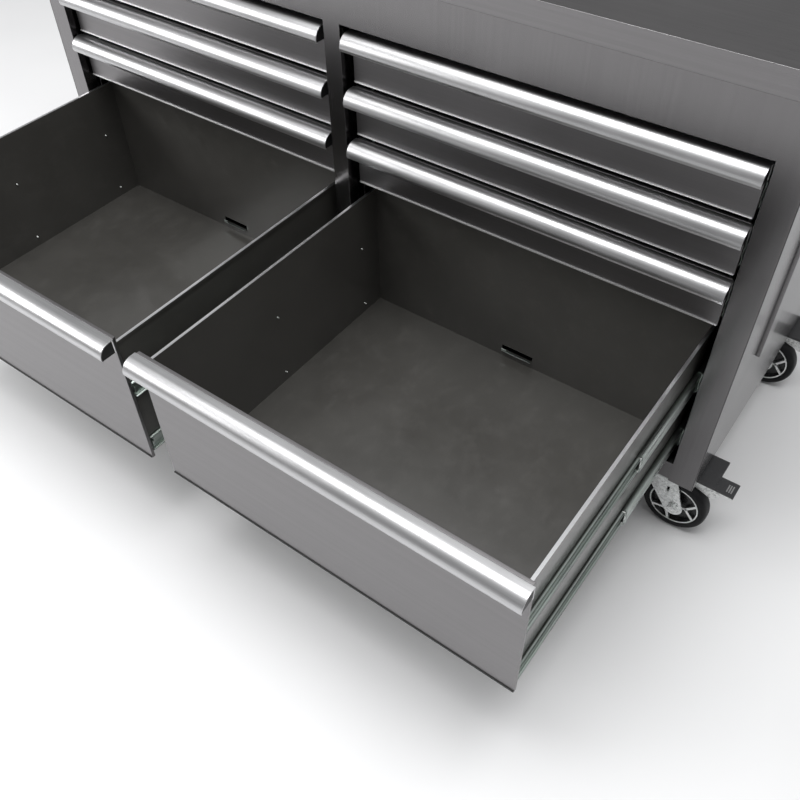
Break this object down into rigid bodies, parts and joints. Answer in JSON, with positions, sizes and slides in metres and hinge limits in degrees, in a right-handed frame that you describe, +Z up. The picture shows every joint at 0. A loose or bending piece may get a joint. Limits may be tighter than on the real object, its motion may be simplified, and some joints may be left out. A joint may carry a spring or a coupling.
{
  "type": "rolling tool chest",
  "caption": "Wide stainless rolling tool chest with two banks of full-width pull drawers on telescopic slides and braked swivel casters.",
  "frame": {"origin": "on the floor, under the middle of the cabinet's front face (plane of the posts)", "axes": "+X to the chest's right as seen from the front, +Y from the front to the back, +Z up; drawers open towards -Y"},
  "size_m": [1.646, 1.206, 0.948],
  "materials": {
    "stainless": "brushed",
    "bright_handle": "polished",
    "charcoal": "satin",
    "zinc": "zinc plated",
    "wheel_black": "satin",
    "pedal_black": "moulded"
  },
  "bodies": {
    "cabinet": {"worktop": "stainless", "front_frame": "stainless", "cabinet_walls": "stainless", "back_panel": "stainless", "base_pan": "stainless", "cabinet_slide_rails": "zinc", "side_strip": "stainless", "caster_plates": "zinc"},
    "left_deep_drawer": {"left_deep_box": "charcoal", "left_deep_front": "stainless", "left_deep_handle": "bright_handle", "left_deep_slides": "zinc"},
    "left_deep_middle_members": {"left_deep_telescopes": "zinc"},
    "left_lower_drawer": {"left_lower_box": "charcoal", "left_lower_front": "stainless", "left_lower_handle": "bright_handle", "left_lower_slides": "zinc"},
    "left_lower_middle_members": {"left_lower_telescopes": "zinc"},
    "left_middle_drawer": {"left_middle_box": "charcoal", "left_middle_front": "stainless", "left_middle_handle": "bright_handle", "left_middle_slides": "zinc"},
    "left_middle_middle_members": {"left_middle_telescopes": "zinc"},
    "left_upper_drawer": {"left_upper_box": "charcoal", "left_upper_front": "stainless", "left_upper_handle": "bright_handle", "left_upper_slides": "zinc"},
    "left_upper_middle_members": {"left_upper_telescopes": "zinc"},
    "right_deep_drawer": {"right_deep_box": "charcoal", "right_deep_front": "stainless", "right_deep_handle": "bright_handle", "right_deep_slides": "zinc"},
    "right_deep_middle_members": {"right_deep_telescopes": "zinc"},
    "right_lower_drawer": {"right_lower_box": "charcoal", "right_lower_front": "stainless", "right_lower_handle": "bright_handle", "right_lower_slides": "zinc"},
    "right_lower_middle_members": {"right_lower_telescopes": "zinc"},
    "right_middle_drawer": {"right_middle_box": "charcoal", "right_middle_front": "stainless", "right_middle_handle": "bright_handle", "right_middle_slides": "zinc"},
    "right_middle_middle_members": {"right_middle_telescopes": "zinc"},
    "right_upper_drawer": {"right_upper_box": "charcoal", "right_upper_front": "stainless", "right_upper_handle": "bright_handle", "right_upper_slides": "zinc"},
    "right_upper_middle_members": {"right_upper_telescopes": "zinc"},
    "front_left_swivel": {"caster_fork_front_left": "zinc"},
    "front_left_wheel": {"caster_wheel_front_left": "wheel_black"},
    "front_left_brake": {"caster_pedal_front_left": "pedal_black"},
    "front_right_swivel": {"caster_fork_front_right": "zinc"},
    "front_right_wheel": {"caster_wheel_front_right": "wheel_black"},
    "front_right_brake": {"caster_pedal_front_right": "pedal_black"},
    "rear_left_swivel": {"caster_fork_rear_left": "zinc"},
    "rear_left_wheel": {"caster_wheel_rear_left": "wheel_black"},
    "rear_left_brake": {"caster_pedal_rear_left": "pedal_black"},
    "rear_right_swivel": {"caster_fork_rear_right": "zinc"},
    "rear_right_wheel": {"caster_wheel_rear_right": "wheel_black"},
    "rear_right_brake": {"caster_pedal_rear_right": "pedal_black"}
  },
  "joints": [
    {"name": "left_deep_drawer_slide", "type": "slide", "parent": "cabinet", "child": "left_deep_drawer", "axis": [0, -1, 0], "range_m": [-0.564, 0]},
    {"name": "left_deep_middle_slide", "type": "slide", "parent": "cabinet", "child": "left_deep_middle_members", "axis": [0, -1, 0], "range_m": [-0.282, 0]},
    {"name": "left_lower_drawer_slide", "type": "slide", "parent": "cabinet", "child": "left_lower_drawer", "axis": [0, -1, 0], "range_m": [0, 0.564]},
    {"name": "left_lower_middle_slide", "type": "slide", "parent": "cabinet", "child": "left_lower_middle_members", "axis": [0, -1, 0], "range_m": [0, 0.282]},
    {"name": "left_middle_drawer_slide", "type": "slide", "parent": "cabinet", "child": "left_middle_drawer", "axis": [0, -1, 0], "range_m": [0, 0.564]},
    {"name": "left_middle_middle_slide", "type": "slide", "parent": "cabinet", "child": "left_middle_middle_members", "axis": [0, -1, 0], "range_m": [0, 0.282]},
    {"name": "left_upper_drawer_slide", "type": "slide", "parent": "cabinet", "child": "left_upper_drawer", "axis": [0, -1, 0], "range_m": [0, 0.564]},
    {"name": "left_upper_middle_slide", "type": "slide", "parent": "cabinet", "child": "left_upper_middle_members", "axis": [0, -1, 0], "range_m": [0, 0.282]},
    {"name": "right_deep_drawer_slide", "type": "slide", "parent": "cabinet", "child": "right_deep_drawer", "axis": [0, -1, 0], "range_m": [-0.564, 0]},
    {"name": "right_deep_middle_slide", "type": "slide", "parent": "cabinet", "child": "right_deep_middle_members", "axis": [0, -1, 0], "range_m": [-0.282, 0]},
    {"name": "right_lower_drawer_slide", "type": "slide", "parent": "cabinet", "child": "right_lower_drawer", "axis": [0, -1, 0], "range_m": [0, 0.564]},
    {"name": "right_lower_middle_slide", "type": "slide", "parent": "cabinet", "child": "right_lower_middle_members", "axis": [0, -1, 0], "range_m": [0, 0.282]},
    {"name": "right_middle_drawer_slide", "type": "slide", "parent": "cabinet", "child": "right_middle_drawer", "axis": [0, -1, 0], "range_m": [0, 0.564]},
    {"name": "right_middle_middle_slide", "type": "slide", "parent": "cabinet", "child": "right_middle_middle_members", "axis": [0, -1, 0], "range_m": [0, 0.282]},
    {"name": "right_upper_drawer_slide", "type": "slide", "parent": "cabinet", "child": "right_upper_drawer", "axis": [0, -1, 0], "range_m": [0, 0.564]},
    {"name": "right_upper_middle_slide", "type": "slide", "parent": "cabinet", "child": "right_upper_middle_members", "axis": [0, -1, 0], "range_m": [0, 0.282]},
    {"name": "front_left_swivel_turn", "type": "hinge", "parent": "cabinet", "child": "front_left_swivel", "pos_m": [-0.723, 0.047, 0.15], "axis": [0, 0, 1], "continuous": true},
    {"name": "front_left_wheel_spin", "type": "hinge", "parent": "front_left_swivel", "child": "front_left_wheel", "pos_m": [-0.685, 0.047, 0.0635], "axis": [0, 1, 0], "continuous": true},
    {"name": "front_left_brake_press", "type": "hinge", "parent": "front_left_swivel", "child": "front_left_brake", "pos_m": [-0.667, 0.047, 0.133], "axis": [0, 1, 0], "range_deg": [0, 9], "stiffness_Nm_per_rad": 4},
    {"name": "front_right_swivel_turn", "type": "hinge", "parent": "cabinet", "child": "front_right_swivel", "pos_m": [0.723, 0.047, 0.15], "axis": [0, 0, 1], "continuous": true},
    {"name": "front_right_wheel_spin", "type": "hinge", "parent": "front_right_swivel", "child": "front_right_wheel", "pos_m": [0.761, 0.047, 0.0635], "axis": [0, 1, 0], "continuous": true},
    {"name": "front_right_brake_press", "type": "hinge", "parent": "front_right_swivel", "child": "front_right_brake", "pos_m": [0.779, 0.047, 0.133], "axis": [0, 1, 0], "range_deg": [0, 9], "stiffness_Nm_per_rad": 4},
    {"name": "rear_left_swivel_turn", "type": "hinge", "parent": "cabinet", "child": "rear_left_swivel", "pos_m": [-0.723, 0.537, 0.15], "axis": [0, 0, 1], "continuous": true},
    {"name": "rear_left_wheel_spin", "type": "hinge", "parent": "rear_left_swivel", "child": "rear_left_wheel", "pos_m": [-0.685, 0.537, 0.0635], "axis": [0, 1, 0], "continuous": true},
    {"name": "rear_left_brake_press", "type": "hinge", "parent": "rear_left_swivel", "child": "rear_left_brake", "pos_m": [-0.667, 0.537, 0.133], "axis": [0, 1, 0], "range_deg": [0, 9], "stiffness_Nm_per_rad": 4},
    {"name": "rear_right_swivel_turn", "type": "hinge", "parent": "cabinet", "child": "rear_right_swivel", "pos_m": [0.723, 0.537, 0.15], "axis": [0, 0, 1], "continuous": true},
    {"name": "rear_right_wheel_spin", "type": "hinge", "parent": "rear_right_swivel", "child": "rear_right_wheel", "pos_m": [0.761, 0.537, 0.0635], "axis": [0, 1, 0], "continuous": true},
    {"name": "rear_right_brake_press", "type": "hinge", "parent": "rear_right_swivel", "child": "rear_right_brake", "pos_m": [0.779, 0.537, 0.133], "axis": [0, 1, 0], "range_deg": [0, 9], "stiffness_Nm_per_rad": 4}
  ],
  "couplings": [
    {"joint": "left_deep_middle_slide", "follows": "left_deep_drawer_slide", "ratio": 0.5},
    {"joint": "left_lower_middle_slide", "follows": "left_lower_drawer_slide", "ratio": 0.5},
    {"joint": "left_middle_middle_slide", "follows": "left_middle_drawer_slide", "ratio": 0.5},
    {"joint": "left_upper_middle_slide", "follows": "left_upper_drawer_slide", "ratio": 0.5},
    {"joint": "right_deep_middle_slide", "follows": "right_deep_drawer_slide", "ratio": 0.5},
    {"joint": "right_lower_middle_slide", "follows": "right_lower_drawer_slide", "ratio": 0.5},
    {"joint": "right_middle_middle_slide", "follows": "right_middle_drawer_slide", "ratio": 0.5},
    {"joint": "right_upper_middle_slide", "follows": "right_upper_drawer_slide", "ratio": 0.5}
  ]
}
